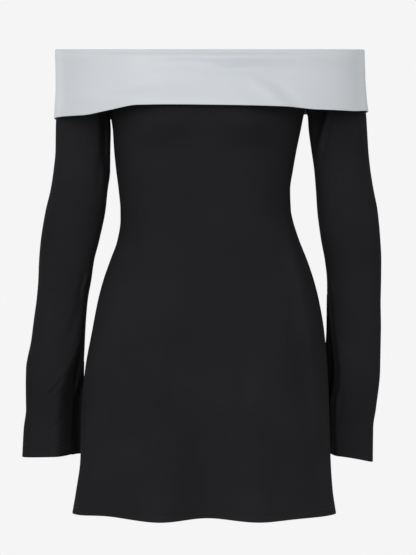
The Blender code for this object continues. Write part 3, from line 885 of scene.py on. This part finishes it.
def front_or_back(name, face, creases, material):
    """The front or back panel, with its hem turned up inside."""
    turn = np.linspace(0, math.pi, PANEL_COLUMNS + 1)
    levels = body_levels(HEM + EDGE_FOLD, PANEL_STEP)
    rows = [panel_row(face, z, rise, turn, creases) for z, rise in levels]
    inner = []
    for step in range(TURN_UP_ROWS + 1):
        z = HEM + EDGE_FOLD + TURN_UP * step / TURN_UP_ROWS
        inner.append(panel_row(face, z, 0.0, turn, creases, inset=2 * EDGE_FOLD))
    rows += turned_edge(rows[-1], inner[0], EDGE_FOLD) + inner
    return cloth(name, rows, material, JERSEY, flip=face == BACK)


def sleeve(name, side, creases, back_creases, material):
    """A sleeve with its cuff turned up inside."""
    turn = np.linspace(0, 2 * math.pi, SLEEVE_COLUMNS + 1)
    last = SLEEVES[side][-1].z
    rows = [
        outer_sleeve_row(side, z, rise, turn, creases, back_creases)
        for z, rise in body_levels(last, SLEEVE_STEP)
    ]
    inner = []
    for step in range(TURN_UP_ROWS + 1):
        up = TURN_UP * step / TURN_UP_ROWS
        row = sleeve_row(side, last + up, 0.0, turn, creases, back_creases, inset=2 * EDGE_FOLD)
        row[:, 2] = cuff_height(side, turn) + up
        inner.append(row)
    rows += turned_edge(rows[-1], inner[0], EDGE_FOLD) + inner
    return cloth(name, rows, material, JERSEY, ring_from=ARMHOLE_ROWS, flip=side == RIGHT)


def collar(name, face, creases, material):
    """Half of the collar: up from its seam, over the fold, down, and turned in below."""
    turn = np.linspace(0, math.pi, COLLAR_COLUMNS + 1)
    middle = (COLLAR_STAND - COLLAR_INSIDE) / 2
    bend = middle + COLLAR_INSIDE
    rows = []
    for drop in np.linspace(SEAM_DROP, bend, COLLAR_INSIDE_ROWS + 1)[:-1]:
        rows.append(collar_row(face, drop, None, turn, -COLLAR_INSIDE, creases))
    for angle in range(180, -1, -COLLAR_FOLD_STEP):
        offset = middle + bend * math.cos(math.radians(angle))
        drop = bend - bend * math.sin(math.radians(angle))
        rows.append(collar_row(face, drop, None, turn, offset, creases))
    for share in np.linspace(0, 1, COLLAR_ROWS + 1)[1:]:
        rows.append(collar_row(face, bend, share, turn, COLLAR_STAND, creases))
    rows[-1][:, 2] += COLLAR_EDGE_FOLD
    inner = []
    for step in range(COLLAR_TURN_ROWS + 1):
        share = 1 - COLLAR_TURN * step / COLLAR_TURN_ROWS
        row = collar_row(face, bend, share, turn, COLLAR_STAND - COLLAR_TURN_GAP, creases)
        row[:, 2] += COLLAR_EDGE_FOLD
        inner.append(row)
    rows += turned_edge(rows[-1], inner[0], COLLAR_EDGE_FOLD) + inner
    return cloth(name, rows, material, COLLAR_CLOTH, flip=face == BACK)


def one_stitch(material):
    """A stitch of sewing thread along X: a short rod with rounded ends."""
    bpy.ops.object.select_all(action="DESELECT")
    bpy.ops.mesh.primitive_cylinder_add(
        vertices=STITCH_SIDES, radius=THREAD / 2, depth=STITCH_LENGTH,
        rotation=(0, math.radians(90), 0),
    )
    rod = bpy.context.object
    bpy.ops.object.transform_apply(location=False, rotation=True, scale=False)
    bpy.ops.object.mode_set(mode="EDIT")
    bpy.ops.mesh.select_all(action="DESELECT")
    mesh = bmesh.from_edit_mesh(rod.data)
    for face in mesh.faces:
        face.select_set(abs(face.normal.x) > 0.9)
    bmesh.update_edit_mesh(rod.data)
    bpy.ops.mesh.inset(
        thickness=THREAD * STITCH_END_INSET, depth=THREAD * STITCH_END_DEPTH, use_individual=True
    )
    bpy.ops.object.mode_set(mode="OBJECT")
    rod.data.shade_smooth()
    rod.data.materials.append(material)
    return rod


def sew(name, lines, outward, material):
    """Rows of stitches along lines of points, each lying on the cloth's right side."""
    pattern = one_stitch(material)
    stitches = []
    for line in lines:
        lengths = np.linalg.norm(np.diff(line, axis=0), axis=1)
        run = np.concatenate([[0], np.cumsum(lengths)])
        count = int(run[-1] / (STITCH_LENGTH + STITCH_GAP))
        ends = np.linspace(0, run[-1], count + 1)
        for start, end in zip(ends[:-1], ends[1:]):
            first, last = (
                Vector([np.interp(place, run, line[:, axis]) for axis in range(3)])
                for place in (start, end)
            )
            along = (last - first).normalized()
            out = along.cross(Vector((0, 0, 1))) * outward
            stitch = pattern.copy()
            stitch.data = pattern.data.copy()
            stitch.location = (first + last) / 2 + out * THREAD * STITCH_LIFT
            stitch.rotation_euler = along.to_track_quat("X", "Z").to_euler()
            bpy.context.scene.collection.objects.link(stitch)
            stitches.append(stitch)
    bpy.data.objects.remove(pattern)
    bpy.ops.object.select_all(action="DESELECT")
    for stitch in stitches:
        stitch.select_set(True)
    bpy.context.view_layer.objects.active = stitches[0]
    bpy.ops.object.join()
    bpy.ops.object.transform_apply(location=True, rotation=True, scale=True)
    thread = bpy.context.object
    thread.name = name
    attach(thread, "root")
    return thread


def hem_stitches(name, face, creases, material):
    """The two rows of stitches along the hem of a panel."""
    turn = np.linspace(HEM_LINE_START, math.pi - HEM_LINE_START, HEM_LINE_POINTS)
    lines = [panel_row(face, HEM + up, 0.0, turn, creases) for up in HEM_ROWS]
    return sew(name, lines, 1 if face == FRONT else -1, material)


def cuff_stitches(name, side, creases, back_creases, material):
    """The two rows of stitches round a cuff."""
    turn = np.linspace(0, 2 * math.pi, CUFF_LINE_POINTS)
    last = SLEEVES[side][-1].z
    lines = [
        outer_sleeve_row(side, last + up, 0.0, turn, creases, back_creases) for up in CUFF_ROWS
    ]
    return sew(name, lines, side, material)


def make_camera():
    """A camera straight in front, with the photo's frame."""
    data = bpy.data.cameras.new("camera")
    data.sensor_width = SENSOR
    data.lens = SENSOR * CAMERA_DISTANCE / (IMAGE_HEIGHT * PIXEL)
    camera = bpy.data.objects.new("camera", data)
    camera.location = (CAMERA_X, -CAMERA_DISTANCE, CAMERA_Z)
    camera.rotation_euler = (math.radians(90), 0, 0)
    bpy.context.scene.collection.objects.link(camera)
    bpy.context.scene.camera = camera


def make_light(name, place, size, power):
    """A soft area light that looks at the middle of the dress."""
    data = bpy.data.lights.new(name, "AREA")
    data.shape = "RECTANGLE"
    data.size, data.size_y = size
    data.energy = power
    light = bpy.data.objects.new(name, data)
    light.location = place
    aim = Vector(LIGHT_TARGET) - Vector(place)
    light.rotation_euler = aim.to_track_quat("-Z", "Y").to_euler()
    bpy.context.scene.collection.objects.link(light)


def make_studio():
    """A plain pale floor, out of the camera's view, and soft light from all round."""
    bpy.ops.object.select_all(action="DESELECT")
    bpy.ops.mesh.primitive_circle_add(
        vertices=96, radius=FLOOR_RADIUS, fill_type="NGON", location=(0, 0, FLOOR_HEIGHT)
    )
    floor = bpy.context.object
    floor.name = "studio_floor"
    material, _, shader = shader_of("matt white paper")
    shader.inputs["Base Color"].default_value = linear("F2F2F2")
    shader.inputs["Roughness"].default_value = 0.9
    floor.data.materials.append(material)
    world = bpy.data.worlds.new("studio")
    world.use_nodes = True
    bpy.context.scene.world = world
    tree = world.node_tree
    # The camera sees an even white. The cloth gets more light from its bright side.
    back = tree.nodes["Background"]
    back.inputs["Color"].default_value = linear("F5F5F5")
    sight = add_node(tree, "ShaderNodeLightPath").outputs["Is Camera Ray"]
    way = add_node(tree, "ShaderNodeTexCoord").outputs["Generated"]
    towards = add_node(
        tree, "ShaderNodeVectorMath", {0: way, 1: BRIGHT_SIDE}, operation="DOT_PRODUCT"
    ).outputs["Value"]
    glow = add_node(
        tree, "ShaderNodeMapRange", {0: towards, 1: -1.0, 2: 1.0, 3: LIGHT_LEAST, 4: LIGHT_MOST}
    )
    strength = add_node(
        tree, "ShaderNodeMath", {0: glow.outputs[0], 1: sight}, operation="MAXIMUM"
    ).outputs[0]
    tree.links.new(strength, back.inputs["Strength"])
    make_light("key", KEY_PLACE, KEY_SIZE, KEY_POWER)
    for name, (place, power) in SOFT_LIGHTS.items():
        make_light(name, place, SOFT_LIGHT_SIZE, power)
    bpy.context.scene.view_settings.view_transform = "Standard"


make_camera()
jersey_look = stretch_jersey()
satin_look = satin_crepe()
thread_look = sewing_thread()

front = front_or_back("front_panel", FRONT, FRONT_CREASES, jersey_look)
back = front_or_back("back_panel", BACK, BACK_CREASES, jersey_look)
mirrored_back = tuple(
    crease._replace(
        x1=-crease.x1 - BACK_CREASE_SHIFT,
        x2=-crease.x2 - BACK_CREASE_SHIFT,
        x3=-crease.x3 - BACK_CREASE_SHIFT,
    )
    for crease in SLEEVE_BACK_CREASES
)
right_folds = (RIGHT_SLEEVE_CREASES, mirrored_back)
left_folds = (LEFT_SLEEVE_CREASES, SLEEVE_BACK_CREASES)
right_sleeve = sleeve("right_sleeve", RIGHT, *right_folds, jersey_look)
left_sleeve = sleeve("left_sleeve", LEFT, *left_folds, jersey_look)
front_collar = collar("front_collar", FRONT, COLLAR_FRONT_CREASES, satin_look)
back_collar = collar("back_collar", BACK, COLLAR_BACK_CREASES, satin_look)

front_hem = hem_stitches("front_hem_stitches", FRONT, FRONT_CREASES, thread_look)
back_hem = hem_stitches("back_hem_stitches", BACK, BACK_CREASES, thread_look)
right_cuff = cuff_stitches("right_cuff_stitches", RIGHT, *right_folds, thread_look)
left_cuff = cuff_stitches("left_cuff_stitches", LEFT, *left_folds, thread_look)

hang(front, "dress_front")
hang(back, "dress_back")
hang(right_sleeve, "sleeve_right")
hang(left_sleeve, "sleeve_left")
hang(front_collar, "collar_front")
hang(back_collar, "collar_back")
make_studio()
